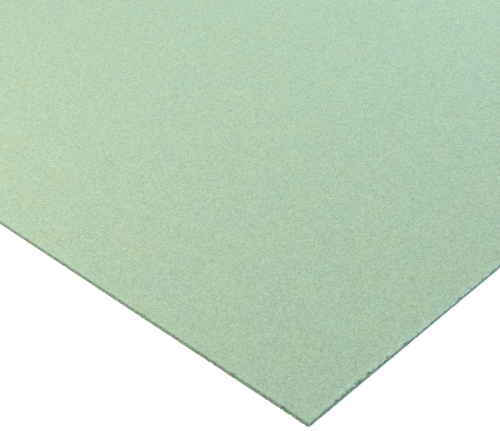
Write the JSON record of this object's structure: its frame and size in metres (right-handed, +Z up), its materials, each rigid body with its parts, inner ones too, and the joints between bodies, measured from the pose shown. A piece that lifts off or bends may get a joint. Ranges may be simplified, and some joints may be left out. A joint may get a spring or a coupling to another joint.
{
  "type": "fibreboard underlay board",
  "caption": "Thin rectangular pressed wood-fibre board with square sawn edges, laid flat on a subfloor as the levelling and sound-damping layer under a floating floor.",
  "frame": {"origin": "centre of the underside, where the board rests on the floor", "axes": "+X along the long edges, +Y along the short edges, +Z up through the thickness"},
  "size_m": [0.79, 0.59, 0.005],
  "materials": {
    "fibreboard": "matt pale green pressed wood fibre with a felted, mottled face and darker sawn edges"
  },
  "bodies": {
    "root": {"underlay_board": "fibreboard"}
  },
  "joints": []
}
